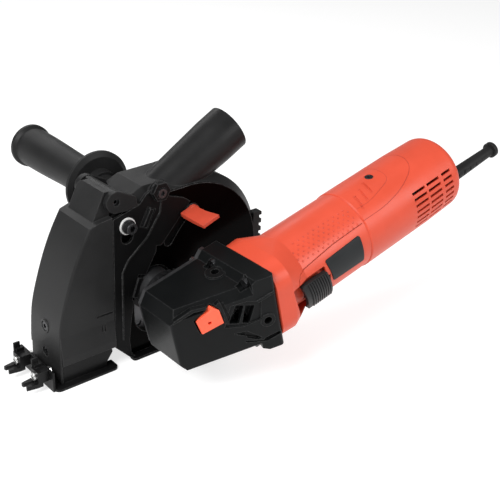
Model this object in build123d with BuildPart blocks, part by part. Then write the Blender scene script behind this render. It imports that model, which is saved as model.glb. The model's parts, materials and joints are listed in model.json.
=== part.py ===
from build123d import *
from math import atan2, cos, degrees, hypot, radians, sin
import os

# Twin-disc wall chaser: a motor unit that plunges on a hinge inside a black dust shroud.
# Millimetres. +X runs back towards the mains lead, +Y away from the motor, +Z up.
# It is drawn about a point in the plane of the sole, under the centre of the shroud's round
# rear part. Each piece is then moved so that the origin is the middle of the far foot's underside.

os.makedirs("parts", exist_ok=True)

# ---- driving dimensions -------------------------------------------------------------
NEAR_Y = -28.0            # outer face of the near side plate
FAR_Y = 19.5              # outer face of the far wall
MID_Y = (NEAR_Y + FAR_Y) / 2
WALL = 2.6                # shroud wall
RIM_Z = 73.0              # height of the centre of the round rear part
RIM_R = 81.0              # radius of the round rear part
PANEL_IN = 7.2            # the round panel stands in this far from the rim
RIM_Y = -23.2             # near edge of the rim, which the round panel lies on
PANEL_Y = -25.4           # outer face of the round panel
SEAM_X = -79.8            # joint between front cover and shroud
COVER_GAP = 0.3
HINGE_X, HINGE_Z = -76.0, 150.0
HINGE_R = 9.0
PIVOT_X, PIVOT_Z = 60.0, 46.8
PLUNGE = 14.0             # degrees of plunge
PITCH = 14.62             # the motor points up towards the rear by this much
MOTOR_Y = -98.4           # plane of the motor axis
MOTOR_Z = 73.0            # height of the motor axis above the origin
BARREL_R = 35.4
BARREL_IN = 32.6
REAR_R = 36.2             # radius of the rear motor housing
SPINDLE_A = -40.3         # spindle axis, measured along the motor axis
DISC_R = 62.5
DISC_T = 2.2
NEAR_DISC_Y = -17.4       # near face of the near disc
FAR_DISC_Y = 8.2          # near face of the far disc
CROWN_TEETH = 38
PINION_TEETH = 10
LEVER_X, LEVER_Z = -1.8, 124.5
BOSS_X, BOSS_Z = -35.0, 150.5
SLOT_BOLT_X, SLOT_BOLT_Z = -66.5, 127.5
CLIP_Z = 13.6
CLIP_YS = (-19.4, 10.3)
HANDLE_X, HANDLE_Z = -46.4, 132.4
SEAM_T = 114.0            # joint between the front and rear motor housings
END_T = 238.0
SLEEVE_SEAT_T = 228.0     # where the rubber sleeve's collar meets the rear housing
CORD_B = -22.0            # the mains lead leaves this far below the motor axis

PITCH_R = radians(PITCH)
ALONG = Vector(cos(PITCH_R), 0, sin(PITCH_R))
PERP = Vector(-sin(PITCH_R), 0, cos(PITCH_R))
SPINDLE_X = SPINDLE_A * cos(PITCH_R)
SPINDLE_Z = MOTOR_Z + SPINDLE_A * sin(PITCH_R)


def side(y):
    """Plane seen from the motor's side, drawn in (x, z); extrusion runs towards -Y."""
    return Plane.XZ.offset(-y)


def point(a, y, b):
    """A point of the motor unit: a along the motor axis, b square to it, y as it is."""
    return Vector(0, y, MOTOR_Z) + ALONG * a + PERP * b


def beside(y, a=0.0, b=0.0):
    """Plane seen from the motor's side, drawn in (a, b); extrusion runs towards -Y."""
    return Plane(origin=point(a, y, b), x_dir=ALONG, z_dir=(0, -1, 0))


def across(a, y=MOTOR_Y, b=0.0):
    """Plane square to the motor axis, drawn in (y, b); extrusion runs to the rear."""
    return Plane(origin=point(a, y, b), x_dir=(0, 1, 0), z_dir=ALONG)


def radial(a, angle, r):
    """Plane on the barrel: angle counts from the near side upwards, z points outwards."""
    out = Vector(0, -1, 0) * cos(radians(angle)) + PERP * sin(radians(angle))
    return Plane(origin=point(a, MOTOR_Y, 0) + out * r, x_dir=ALONG, z_dir=out)


def rim_point(r, angle):
    return (r * sin(radians(angle)), RIM_Z + r * cos(radians(angle)))


def draw_outline(inset, low_z, front_x, chin):
    """Outline of the shroud seen from the side, moved in by inset."""
    r = RIM_R - inset
    with BuildLine() as outline:
        Polyline(rim_point(r, -6), (-44 + 0.3 * inset, 152.3 - inset), (-60, 144.5 - inset),
                 (front_x, 138 - inset), (front_x, low_z + chin), (front_x + chin, low_z),
                 (58 - 0.5 * inset, low_z), rim_point(r, 118))
        ThreePointArc(rim_point(r, 118), rim_point(r, 56), rim_point(r, -6))
    make_face(outline.edges())


FOOT_X, FOOT_Y = -2.0, FAR_Y + 2


def save(part, name):
    """Move a piece to the shared frame, label it and write it out."""
    placed = part.part.moved(Location((-FOOT_X, -FOOT_Y, 0)))
    placed.label = name
    export_step(placed, f"parts/{name}.step")


# ---- shroud -------------------------------------------------------------------------
TUBE_END = Vector(55.7, MID_Y, 180.4)
TUBE_RISE = 29.5
TUBE_L = 116.0
TUBE_STRAIGHT = 20.0      # the mouth is straight so that a hose cuff fits
TUBE_AXIS = Vector(cos(radians(TUBE_RISE)), 0, sin(radians(TUBE_RISE)))
TUBE_R = 20.8
TUBE_ROOT_R = 16.8
TUBE_WALL = 2.4
tube_plane = Plane(origin=TUBE_END - TUBE_AXIS * TUBE_L, x_dir=(0, 1, 0), z_dir=TUBE_AXIS)

with BuildPart() as shroud_shell:
    with BuildSketch(side(FAR_Y)):
        draw_outline(0, 0, SEAM_X + COVER_GAP, 17)
    extrude(amount=FAR_Y - RIM_Y - PANEL_IN)
    # the near edge of the rim slopes in to the round panel
    for y, inset in ((RIM_Y + PANEL_IN, 0), (RIM_Y, PANEL_IN)):
        with BuildSketch(side(y)):
            draw_outline(inset, 0, SEAM_X + COVER_GAP, 17)
    loft(ruled=True)
    with Locations(tube_plane):
        Cone(TUBE_ROOT_R, TUBE_R, TUBE_L - TUBE_STRAIGHT,
             align=(Align.CENTER, Align.CENTER, Align.MIN))
    with Locations(tube_plane.offset(TUBE_L - TUBE_STRAIGHT)):
        Cylinder(TUBE_R, TUBE_STRAIGHT, align=(Align.CENTER, Align.CENTER, Align.MIN))
    # the chamber, open to the front and below
    with BuildSketch(side(FAR_Y - WALL)):
        draw_outline(3, -5, SEAM_X - 10, 0.5)
    extrude(amount=FAR_Y - WALL + 16.8, mode=Mode.SUBTRACT)
    # the opening inside the rim, wider at the hinge end
    with BuildSketch(side(-16)):
        draw_outline(11, -5, SEAM_X - 10, 0.5)
        with Locations((PIVOT_X - 3, PIVOT_Z)):
            Circle(18)
    extrude(amount=12, mode=Mode.SUBTRACT)
    with BuildSketch(side(-16)):
        with Locations((20, -10)):
            Rectangle(66, 50)
    extrude(amount=12, mode=Mode.SUBTRACT)
    with Locations(tube_plane):
        Cone(TUBE_ROOT_R - TUBE_WALL, TUBE_R - TUBE_WALL, TUBE_L - TUBE_STRAIGHT,
             mode=Mode.SUBTRACT, align=(Align.CENTER, Align.CENTER, Align.MIN))
    with Locations(tube_plane.offset(TUBE_L - TUBE_STRAIGHT)):
        Cylinder(TUBE_R - TUBE_WALL, TUBE_STRAIGHT + 1, mode=Mode.SUBTRACT,
                 align=(Align.CENTER, Align.CENTER, Align.MIN))
    # hinge ears for the front cover
    for y in (NEAR_Y + 5.0, FAR_Y):
        with BuildSketch(side(y)):
            with Locations((HINGE_X, HINGE_Z)):
                Circle(HINGE_R)
            with BuildLine():
                Polyline((-72, 158), (-58, 151), (-56, 143), (-66, 140.5), (-77, 141), (-72, 158))
            make_face()
        extrude(amount=5)
    with BuildSketch(side(RIM_Y + 9)):
        with BuildLine():
            Polyline((-65.5, 135), (-65.5, 147), (-58, 151), (-55, 147.5), (-55, 138), (-65.5, 135))
        make_face()
    extrude(amount=RIM_Y + 9 - PANEL_Y)
    with BuildSketch(side(FAR_Y + 1)):
        with Locations((HINGE_X, HINGE_Z)):
            Circle(3.0)
    extrude(amount=60, mode=Mode.SUBTRACT)
    # boss for the side handle on the far wall, with its stud hole
    with BuildSketch(side(FAR_Y - 0.5)):
        with Locations((HANDLE_X, HANDLE_Z)):
            Circle(13)
    extrude(amount=-10)
    with BuildSketch(side(FAR_Y - 4)):
        with Locations((HANDLE_X, HANDLE_Z)):
            Circle(5)
    extrude(amount=-20, mode=Mode.SUBTRACT)
    # stiffening ribs round the far wall, and its foot
    for r in (28, 40):
        with BuildSketch(side(FAR_Y - 0.2)):
            with BuildLine():
                CenterArc((SPINDLE_X + 2, SPINDLE_Z), r, -20, 190)
            trace(line_width=2.4)
        extrude(amount=-1.4)
    with BuildSketch(Plane.XY):
        with Locations((FOOT_X, FOOT_Y)):
            RectangleRounded(118, 8, 2)
    extrude(amount=2.4)
    # posts that the near side plate is screwed to
    with BuildSketch(side(RIM_Y)):
        with Locations((BOSS_X, BOSS_Z - 6)):
            Circle(7)
    extrude(amount=-6)
    with BuildSketch(side(RIM_Y - 1)):
        with Locations((BOSS_X, BOSS_Z - 1)):
            Circle(2.1)
    extrude(amount=-12, mode=Mode.SUBTRACT)
    # pivot hole through the far wall
    with BuildSketch(side(FAR_Y + 1)):
        with Locations((PIVOT_X, PIVOT_Z)):
            Circle(4.05)
    extrude(amount=8, mode=Mode.SUBTRACT)
    # tapped seat for the bolt that holds the front cover shut
    with BuildSketch(side(NEAR_Y + 3.0)):
        with Locations((SLOT_BOLT_X - 1, SLOT_BOLT_Z)):
            Circle(7.5)
    extrude(amount=-9)
    with BuildSketch(side(NEAR_Y + 2)):
        with Locations((SLOT_BOLT_X, SLOT_BOLT_Z)):
            Circle(3.05)
    extrude(amount=-12, mode=Mode.SUBTRACT)
    # bridge from that seat up to the roof
    with BuildSketch(side(RIM_Y + 1.5)):
        with BuildLine():
            Polyline((-78, 130), (-78, 136.5), (-56, 143.5), (-56, 131), (-78, 130))
        make_face()
    extrude(amount=-3)
    with BuildSketch(side(NEAR_Y + 2)):
        with Locations((SLOT_BOLT_X, SLOT_BOLT_Z)):
            Circle(3.05)
    extrude(amount=-20, mode=Mode.SUBTRACT)
    # rear lug that the panel's end is clamped in
    with BuildSketch(side(-12)):
        with Locations((RIM_R + 1.5, 85)):
            RectangleRounded(10, 26, 1.5)
    extrude(amount=7)
    for z in (76, 84, 92):
        with BuildSketch(side(-10)):
            with Locations((RIM_R + 6, z)):
                Rectangle(4.5, 4)
        extrude(amount=12, mode=Mode.SUBTRACT)
save(shroud_shell, "shroud_shell")

BEAD_SINK = 0.9
with BuildPart() as side_plate:
    with BuildSketch(side(PANEL_Y)):
        with BuildLine():
            Polyline((SEAM_X + COVER_GAP, 135.8), (-54, 143.2), (-48, 150), (-42, 153),
                     (-30, 150.5), (-25, 143.5), (-10, 138.5), (-3, 133.5), (-32.5, 100.5),
                     (-37.5, 101.5), (-38, 96), (-48.5, 77.5), (-56, 79.5), (-62, 58),
                     (-60.5, 56.5), (-63, 40), (-65, 20), (-63, 0), (SEAM_X + COVER_GAP, 17),
                     (SEAM_X + COVER_GAP, 135.8))
        make_face()
        with Locations((BOSS_X, BOSS_Z)):
            Circle(8.6)
    extrude(amount=PANEL_Y - NEAR_Y)
    # lower edge turned out into the foot
    with BuildSketch(Plane.XY):
        with Locations((-41, NEAR_Y - 0.8)):
            RectangleRounded(46, 8.4, 3)
    extrude(amount=2.2)
    with BuildSketch(side(RIM_Y)):
        with BuildLine():
            Polyline((-18, 0), (-18, 2.2), (-60, 2.2), (-63.2, 5.2), (-63, 0), (-18, 0))
        make_face()
    extrude(amount=RIM_Y - NEAR_Y)
    # six-sided screw boss, the bead in its sunk channel and the small rib beside the step
    with BuildSketch(side(NEAR_Y)):
        with Locations((BOSS_X, BOSS_Z)):
            RegularPolygon(8.6, 6)
    extrude(amount=4)
    with BuildSketch(side(NEAR_Y)):
        with BuildLine():
            Line((-42.4, 137.2), (-50.5, 121.5))
        trace(line_width=8.4)
    extrude(amount=-BEAD_SINK, mode=Mode.SUBTRACT)
    with BuildSketch(side(NEAR_Y + BEAD_SINK)):
        with BuildLine():
            Line((-42.4, 137.2), (-50.5, 121.5))
        trace(line_width=5.4)
    extrude(amount=BEAD_SINK + 1.6, taper=20)
    with BuildSketch(side(PANEL_Y)):
        with BuildLine():
            Polyline((-54.5, 77), (-60, 60))
        trace(line_width=4)
    extrude(amount=PANEL_Y - NEAR_Y + 1.5)
    with BuildSketch(side(NEAR_Y)):
        with BuildLine():
            Polyline((-33, 141), (-34.5, 131), (-47, 112), (-66, 96), (-71.5, 86), (-71.5, 22))
        trace(line_width=1.3)
    extrude(amount=0.7)
    # slot below the cover bolt, and the screw holes
    with BuildSketch(side(NEAR_Y + 8)):
        with Locations((SLOT_BOLT_X, SLOT_BOLT_Z - 5)):
            SlotOverall(22, 11.5, rotation=90)
    extrude(amount=20, mode=Mode.SUBTRACT)
    with BuildSketch(side(NEAR_Y - 5)):
        with Locations((BOSS_X, BOSS_Z - 1)):
            Circle(4.6)
    extrude(amount=-3, mode=Mode.SUBTRACT)
    with BuildSketch(side(NEAR_Y - 5)):
        with Locations((BOSS_X, BOSS_Z - 1)):
            Circle(2.5)
    extrude(amount=-12, mode=Mode.SUBTRACT)
save(side_plate, "side_plate")

SPINDLE_DX, SPINDLE_DZ = SPINDLE_X - PIVOT_X, SPINDLE_Z - PIVOT_Z
LEVER_DX, LEVER_DZ = LEVER_X - PIVOT_X, LEVER_Z - PIVOT_Z
NECK_R = 17.0
SWING_R = hypot(SPINDLE_DX, SPINDLE_DZ)
SWING_START = degrees(atan2(SPINDLE_DZ, SPINDLE_DX))
LEVER_SWING_R = hypot(LEVER_DX, LEVER_DZ)
LEVER_START = degrees(atan2(LEVER_DZ, LEVER_DX))

SLOT_SWEEP = 19.0          # the knob's slot runs on past the plunge stop


def draw_arc_slot(radius, start, sweep, width):
    """A round-ended slot curved about the plunge pivot."""
    ends = []
    for r, angle in ((radius + width / 2, start), (radius + width / 2, start + sweep),
                     (radius - width / 2, start + sweep), (radius - width / 2, start)):
        spot = radians(angle)
        ends.append((PIVOT_X + r * cos(spot), PIVOT_Z + r * sin(spot)))
    with BuildLine() as outline:
        CenterArc((PIVOT_X, PIVOT_Z), radius + width / 2, start, sweep)
        CenterArc((PIVOT_X, PIVOT_Z), radius - width / 2, start, sweep)
        Line(ends[1], ends[2])
        Line(ends[3], ends[0])
    make_face(outline.edges())
    for angle in (start, start + sweep):
        spot = radians(angle)
        with Locations((PIVOT_X + radius * cos(spot), PIVOT_Z + radius * sin(spot))):
            Circle(width / 2)


with BuildPart() as round_panel:
    with BuildSketch(side(RIM_Y)):
        draw_outline(PANEL_IN + 0.1, 2.4, -74, 14)
        with Locations((SLOT_BOLT_X - 4, SLOT_BOLT_Z)):
            Rectangle(32, 40, mode=Mode.SUBTRACT)
    extrude(amount=RIM_Y - PANEL_Y)
    with BuildSketch(side(RIM_Y + 1)):
        draw_arc_slot(LEVER_SWING_R, LEVER_START - 0.3, SLOT_SWEEP, 8.6)
        draw_arc_slot(SWING_R, SWING_START - 0.5, PLUNGE + 1, 2 * NECK_R + 2.4)
        with Locations((PIVOT_X, PIVOT_Z)):
            Circle(4.05)
        with Locations((BOSS_X, BOSS_Z - 1)):
            Circle(3.0)
    extrude(amount=12, mode=Mode.SUBTRACT)
save(round_panel, "round_panel")

with BuildPart() as plate_screw:
    with BuildSketch(side(NEAR_Y + 0.6 - 2.7)):
        with Locations((BOSS_X, BOSS_Z - 1)):
            Circle(4.1)
    extrude(amount=2.6)
    with BuildSketch(side(NEAR_Y - 2.1)):
        with Locations((BOSS_X, BOSS_Z - 1)):
            Circle(2.0)
    extrude(amount=-14)
    with BuildSketch(side(NEAR_Y - 4.8)):
        with Locations((BOSS_X, BOSS_Z - 1)):
            RegularPolygon(2.3, 6)
    extrude(amount=-1.8, mode=Mode.SUBTRACT)
save(plate_screw, "plate_screw")

with BuildPart() as cover_washer:
    with BuildSketch(side(NEAR_Y)):
        with Locations((SLOT_BOLT_X, SLOT_BOLT_Z)):
            Circle(7.2)
            Circle(3.1, mode=Mode.SUBTRACT)
    extrude(amount=1.4)
save(cover_washer, "cover_washer")

with BuildPart() as cover_bolt:
    with BuildSketch(side(NEAR_Y - 1.4)):
        with Locations((SLOT_BOLT_X, SLOT_BOLT_Z)):
            Circle(4.9)
    extrude(amount=6.5)
    fillet(cover_bolt.edges().filter_by(lambda e: e.center().Y < NEAR_Y - 7), 0.6)
    with BuildSketch(side(NEAR_Y - 1.4)):
        with Locations((SLOT_BOLT_X, SLOT_BOLT_Z)):
            Circle(6.0)
    extrude(amount=1.6)
    with BuildSketch(side(NEAR_Y - 1.4)):
        with Locations((SLOT_BOLT_X, SLOT_BOLT_Z)):
            Circle(2.95)
    extrude(amount=-12)
    with BuildSketch(side(NEAR_Y - 8)):
        with Locations((SLOT_BOLT_X, SLOT_BOLT_Z)):
            RegularPolygon(2.9, 6)
    extrude(amount=-4, mode=Mode.SUBTRACT)
save(cover_bolt, "cover_bolt")

with BuildPart() as hinge_pin:
    with BuildSketch(side(FAR_Y - 0.5)):
        with Locations((HINGE_X, HINGE_Z)):
            Circle(2.95)
    extrude(amount=FAR_Y - NEAR_Y - 2.5)
    with BuildSketch(side(NEAR_Y + 2)):
        with Locations((HINGE_X, HINGE_Z)):
            RegularPolygon(1.7, 6)
    extrude(amount=-3, mode=Mode.SUBTRACT)
save(hinge_pin, "hinge_pin")

with BuildPart() as pivot_bolt:
    with BuildSketch(side(PANEL_Y - 0.1)):
        with Locations((PIVOT_X, PIVOT_Z)):
            Circle(7)
    extrude(amount=3.2)
    with BuildSketch(side(PANEL_Y - 0.1)):
        with Locations((PIVOT_X, PIVOT_Z)):
            Circle(4.0)
    extrude(amount=-(FAR_Y + 5.5 - PANEL_Y))
    with BuildSketch(side(PANEL_Y - 3.5)):
        with Locations((PIVOT_X, PIVOT_Z)):
            RegularPolygon(3.4, 6)
    extrude(amount=-2.4, mode=Mode.SUBTRACT)
save(pivot_bolt, "pivot_bolt")

with BuildPart() as pivot_nut:
    with BuildSketch(side(FAR_Y)):
        with Locations((PIVOT_X, PIVOT_Z)):
            RegularPolygon(7.5, 6)
            Circle(4.0, mode=Mode.SUBTRACT)
    extrude(amount=-5)
save(pivot_nut, "pivot_nut")

with BuildPart() as handle_stud:
    with BuildSketch(side(FAR_Y - 1)):
        with Locations((HANDLE_X, HANDLE_Z)):
            Circle(4.9)
    extrude(amount=-34)
save(handle_stud, "handle_stud")

FLANGE_Y = 45.4
GRIP_END = 166.5
with BuildPart() as handle_grip:
    with BuildSketch(Plane.XY.offset(HANDLE_Z)):
        with BuildLine():
            Polyline((HANDLE_X, 29.2), (HANDLE_X + 12.6, 29.2), (HANDLE_X + 12.6, 36),
                     (HANDLE_X + 15, 36), (HANDLE_X + 15.6, FLANGE_Y - 1.8),
                     (HANDLE_X + 26, FLANGE_Y - 1.8), (HANDLE_X + 30.4, FLANGE_Y + 0.6),
                     (HANDLE_X + 30.4, FLANGE_Y + 3.4), (HANDLE_X + 19, FLANGE_Y + 5.4),
                     (HANDLE_X + 16.4, FLANGE_Y + 9))
            Spline((HANDLE_X + 16.4, FLANGE_Y + 9), (HANDLE_X + 16.2, 76), (HANDLE_X + 17.4, 112),
                   (HANDLE_X + 18.0, GRIP_END - 9))
            Polyline((HANDLE_X + 18.0, GRIP_END - 9), (HANDLE_X + 20.3, GRIP_END - 6),
                     (HANDLE_X + 20.3, GRIP_END - 2.5), (HANDLE_X + 16.5, GRIP_END),
                     (HANDLE_X, GRIP_END), (HANDLE_X, 29.2))
        make_face()
    revolve(axis=Axis((HANDLE_X, 0, HANDLE_Z), (0, 1, 0)))
    with BuildSketch(side(20)):
        with Locations((HANDLE_X, HANDLE_Z)):
            Circle(4.9)
    extrude(amount=-45, mode=Mode.SUBTRACT)
save(handle_grip, "handle_grip")

# ---- front cover, its base plate and line clips ---------------------------------------
COVER_X = SEAM_X - COVER_GAP
FRONT_X = -132.6


def draw_cover(inset, rear_x, low_z):
    """Outline of the front cover seen from the side."""
    with BuildLine() as outline:
        Line((FRONT_X + inset, low_z), (-131.6 + inset, 44))
        Spline((-131.6 + inset, 44), (-126.2 + inset, 73), (-111.0 + inset, 114.4 - 0.4 * inset),
               (-100.8 + 0.8 * inset, 133.4 - inset), tangents=((0.03, 1), (0.5, 0.86)))
        Polyline((-100.8 + 0.8 * inset, 133.4 - inset), (-92.5, 136.2 - inset),
                 (rear_x, 138 - inset), (rear_x, max(low_z, 17)), (-96, max(low_z, 15)),
                 (-99.5, low_z), (FRONT_X + inset, low_z))
    make_face(outline.edges())


FLAP_TOP = 158.7
FLAP_ROUND = 7.0
FLANGE_TOP = 18.8         # top of the upright flanges of the sole plate

with BuildPart() as front_cover:
    with BuildSketch(side(FAR_Y)):
        draw_cover(0, COVER_X, 2)
    extrude(amount=FAR_Y - NEAR_Y)
    long_edges = front_cover.edges().filter_by(
        lambda e: e.center().X < -100 and 40 < e.center().Z < 125 and e.length > 30)
    fillet(long_edges.filter_by(lambda e: abs(e.center().Y - MID_Y) > 10), 1.6)
    # lower band, stepped out on both sides
    for sign, y in ((-1, NEAR_Y), (1, FAR_Y)):
        with BuildSketch(Plane.YZ.offset(FRONT_X + 1.5)):
            with BuildLine():
                Polyline((y - sign * 0.5, 45), (y, 45), (y + sign * 2.2, 26),
                         (y + sign * 2.2, 19.5), (y - sign * 0.5, 19.5), (y - sign * 0.5, 45))
            make_face()
        extrude(amount=COVER_X - FRONT_X - 1.5)
    # the chamber, open to the rear and below
    with BuildSketch(side(FAR_Y - WALL)):
        with BuildLine():
            Polyline((FRONT_X + WALL, -2), (-131.6 + WALL, 44))
            Spline((-131.6 + WALL, 44), (-126.2 + WALL, 73), (-109.4, 113.4),
                   (-98.6, 130.8), tangents=((0.03, 1), (0.5, 0.86)))
            Polyline((-98.6, 130.8), (-92.5, 133.4), (-70, 137), (-70, -2), (FRONT_X + WALL, -2))
        make_face()
    extrude(amount=FAR_Y - NEAR_Y - 2 * WALL, mode=Mode.SUBTRACT)
    # the side walls stop just above the flanges of the sole plate
    for y in (NEAR_Y, FAR_Y):
        with BuildSketch(Plane.XY):
            with Locations(((FRONT_X + WALL + SEAM_X) / 2, y)):
                Rectangle(SEAM_X - FRONT_X - WALL, 2 * WALL + 2)
        extrude(amount=FLANGE_TOP + 0.7, mode=Mode.SUBTRACT)
    # hinge flap and barrel
    with BuildSketch(side(FAR_Y - 5.4)):
        with BuildLine():
            Polyline((-95, 135), (-84, 158.6), (-79, 158.4), (-74, 152), (-80.2, 138), (-80.2, 135.6),
                     (-95, 135))
        make_face()
        with Locations((HINGE_X, HINGE_Z)):
            Circle(HINGE_R - 0.5)
            Circle(3.0, mode=Mode.SUBTRACT)
    extrude(amount=FAR_Y - NEAR_Y - 10.8)
    # the far upper corner of the flap is rounded
    with BuildSketch(Plane.YZ.offset(-100)):
        with Locations((FAR_Y - 5.4, FLAP_TOP)):
            Rectangle(2 * FLAP_ROUND, 2 * FLAP_ROUND)
        with Locations((FAR_Y - 5.4 - FLAP_ROUND, FLAP_TOP - FLAP_ROUND)):
            Circle(FLAP_ROUND, mode=Mode.SUBTRACT)
    extrude(amount=22, mode=Mode.SUBTRACT)
    with BuildSketch(side(FAR_Y)):
        with Locations((HINGE_X, HINGE_Z)):
            Circle(3.0)
    extrude(amount=60, mode=Mode.SUBTRACT)
    # two screw seats in the front wall
    for z in (46, 22):
        with BuildSketch(Plane(origin=(FRONT_X + 0.6, MID_Y, z), x_dir=(0, 1, 0), z_dir=(1, 0, 0))):
            Circle(6)
        extrude(amount=6)
        with BuildSketch(Plane(origin=(FRONT_X - 2, MID_Y, z), x_dir=(0, 1, 0), z_dir=(1, 0, 0))):
            Circle(4.4)
        extrude(amount=5.5, mode=Mode.SUBTRACT)
        with BuildSketch(Plane(origin=(FRONT_X, MID_Y, z), x_dir=(0, 1, 0), z_dir=(1, 0, 0))):
            Circle(2.1)
        extrude(amount=12, mode=Mode.SUBTRACT)
    # short grooves above the band
    for y in (NEAR_Y, FAR_Y):
        with BuildSketch(side(y + 0.8)):
            with Locations((-89, 53)):
                SlotOverall(16, 1.8)
            with Locations((-92, 38), (-89.5, 38)):
                Rectangle(1.0, 12)
        extrude(amount=1.6, mode=Mode.SUBTRACT)
save(front_cover, "front_cover")

with BuildPart() as front_screws:
    for z in (46, 22):
        with BuildSketch(Plane(origin=(FRONT_X + 1, MID_Y, z), x_dir=(0, 1, 0), z_dir=(1, 0, 0))):
            Circle(3.9)
            RegularPolygon(2.1, 6, mode=Mode.SUBTRACT)
        extrude(amount=2.3)
        with BuildSketch(Plane(origin=(FRONT_X + 3, MID_Y, z), x_dir=(0, 1, 0), z_dir=(1, 0, 0))):
            Circle(2.05)
        extrude(amount=8)
save(front_screws, "front_screws")

PLATE_OUT = 6.5           # the sole plate stands out this far on both sides
PLATE_NEAR, PLATE_FAR = NEAR_Y - PLATE_OUT, FAR_Y + PLATE_OUT
with BuildPart() as base_plate:
    with BuildSketch(Plane.XY):
        with Locations(((-140 - 80) / 2, MID_Y)):
            RectangleRounded(60, PLATE_FAR - PLATE_NEAR, 5)
        with Locations((-102, MID_Y)):
            Rectangle(50, 33.5, mode=Mode.SUBTRACT)
    extrude(amount=2)
    # upright flanges in line with the walls of the cover
    for y in (NEAR_Y + 2.1, FAR_Y - 0.4):
        with BuildSketch(side(y)):
            with BuildLine():
                Polyline((-129.5, 1), (-129.5, FLANGE_TOP), (-85.5, FLANGE_TOP),
                         (-82.6, FLANGE_TOP - 2.2), (-82.6, FLANGE_TOP - 4.4), (-88.5, 6), (-88.5, 1),
                         (-129.5, 1))
            make_face()
        extrude(amount=1.7)
    # front rail with a slot for each clip
    with BuildSketch(Plane(origin=(-141.5, MID_Y, 0), x_dir=(0, 1, 0), z_dir=(1, 0, 0))):
        with Locations((0, 9.4)):
            Rectangle(54, 16.8)
    extrude(amount=1.8)
    with BuildSketch(Plane.XY):
        with Locations((-138, MID_Y)):
            Rectangle(7, 54)
    extrude(amount=2)
    for y in CLIP_YS:
        with BuildSketch(Plane(origin=(-145, y, CLIP_Z), x_dir=(0, 1, 0), z_dir=(1, 0, 0))):
            SlotOverall(14, 4.6)
        extrude(amount=8, mode=Mode.SUBTRACT)
save(base_plate, "base_plate")

for name, y in (("near", CLIP_YS[0]), ("far", CLIP_YS[1])):
    with BuildPart() as line_clip:
        with Locations((-146.5, y, CLIP_Z)):
            Box(9.4, 12, 10)
        # V-shaped sighting prongs, one flag and the tongue in the rail's slot
        for s in (-1, 1):
            with BuildSketch(Plane.XY.offset(CLIP_Z - 8.5)):
                with BuildLine():
                    Polyline((-147, y + s * 0.6), (-160.5, y + s * 2.2), (-161, y + s * 4.4),
                             (-152, y + s * 6), (-147, y + s * 6), (-147, y + s * 0.6))
                make_face()
            extrude(amount=3.6)
        with Locations((-148, y + 5.2, CLIP_Z + 8)):
            Box(5.5, 1.6, 10)
        with Locations((-146.2, y + 4.2, CLIP_Z + 6)):
            Box(7, 3.6, 4)
        with BuildSketch(Plane(origin=(-153, y, CLIP_Z), x_dir=(0, 1, 0), z_dir=(1, 0, 0))):
            Circle(2.0)
        extrude(amount=20, mode=Mode.SUBTRACT)
    save(line_clip, f"{name}_clip")
    with BuildPart() as clip_screw:
        with BuildSketch(Plane(origin=(-151.2, y, CLIP_Z), x_dir=(0, 1, 0), z_dir=(-1, 0, 0))):
            Circle(3.7)
        extrude(amount=2.2)
        fillet(clip_screw.edges().filter_by(lambda e: e.center().X < -153), 0.9)
        with BuildSketch(Plane(origin=(-153.9, y, CLIP_Z), x_dir=(0, 1, 0), z_dir=(1, 0, 0))):
            Rectangle(4.4, 1.0)
            Rectangle(1.0, 4.4)
        extrude(amount=1.6, mode=Mode.SUBTRACT)
        with BuildSketch(Plane(origin=(-151.3, y, CLIP_Z), x_dir=(0, 1, 0), z_dir=(1, 0, 0))):
            Circle(1.9)
        extrude(amount=12.6)
        with BuildSketch(Plane(origin=(-139.4, y, CLIP_Z), x_dir=(0, 1, 0), z_dir=(1, 0, 0))):
            RegularPolygon(3.6, 6)
        extrude(amount=2.2)
    save(clip_screw, f"{name}_clip_screw")

# ---- gear head ------------------------------------------------------------------------
NECK_Y = -57.0            # near end of the neck
ARM_Y = -22.8             # near face of the swing arm
ARM_T = 2.4
NOSE_A = -75.0
NOSE_Y = -103.0           # near face at the nose
BACK_Y = -133.5           # near face at the motor end
HEAD_END = 7.6
LOCK_A = -47.1
LOCK_B = 13.0
LOCK_PIN_A, LOCK_PIN_B = -49.0, 10.0
HANDLE_A = -17.0          # handle boss on the upper face
HANDLE_Y = -89.0
BOSS_TOP = 32.0           # outer end of the handle bosses
BOSS_R = 6.0
THREAD_LENGTH = 10.0
STUD_R = 3.4              # thread root for an M8 handle stud
LOCK_TRAVEL = 3.5
WELL_Y = -106.5           # floor of the lock button's well
HOLLOW_Y = -97.5          # top of the space for the gears
TOP_BEARING_Y = -104.5    # outer end of the small spindle bearing


def near_face(a):
    """Height of the sloping near face of the gear head."""
    return NOSE_Y + (BACK_Y - NOSE_Y) * (a - NOSE_A) / (5.0 - NOSE_A)


HOUSING_SCREWS = ((MOTOR_Y + 20, 31), (MOTOR_Y + 20, -31), (MOTOR_Y - 20, 31), (MOTOR_Y - 20, -31))
SLOPE = atan2(NOSE_Y - BACK_Y, 5.0 - NOSE_A)
FACE_X = ALONG * cos(SLOPE) + Vector(0, -1, 0) * sin(SLOPE)
FACE_Z = Vector(0, -1, 0) * cos(SLOPE) - ALONG * sin(SLOPE)


def on_face(a, b, lift=0.0):
    """Plane on the sloping near face; z points out of it."""
    start = point(a, near_face(a), b) + FACE_Z * lift
    return Plane(origin=start, x_dir=FACE_X, z_dir=FACE_Z)


def face_points(*corners):
    """Corners given in (a, b), as drawn on the sloping near face from its origin at a = 0."""
    return [(a / cos(SLOPE), b) for a, b in corners]


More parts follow.
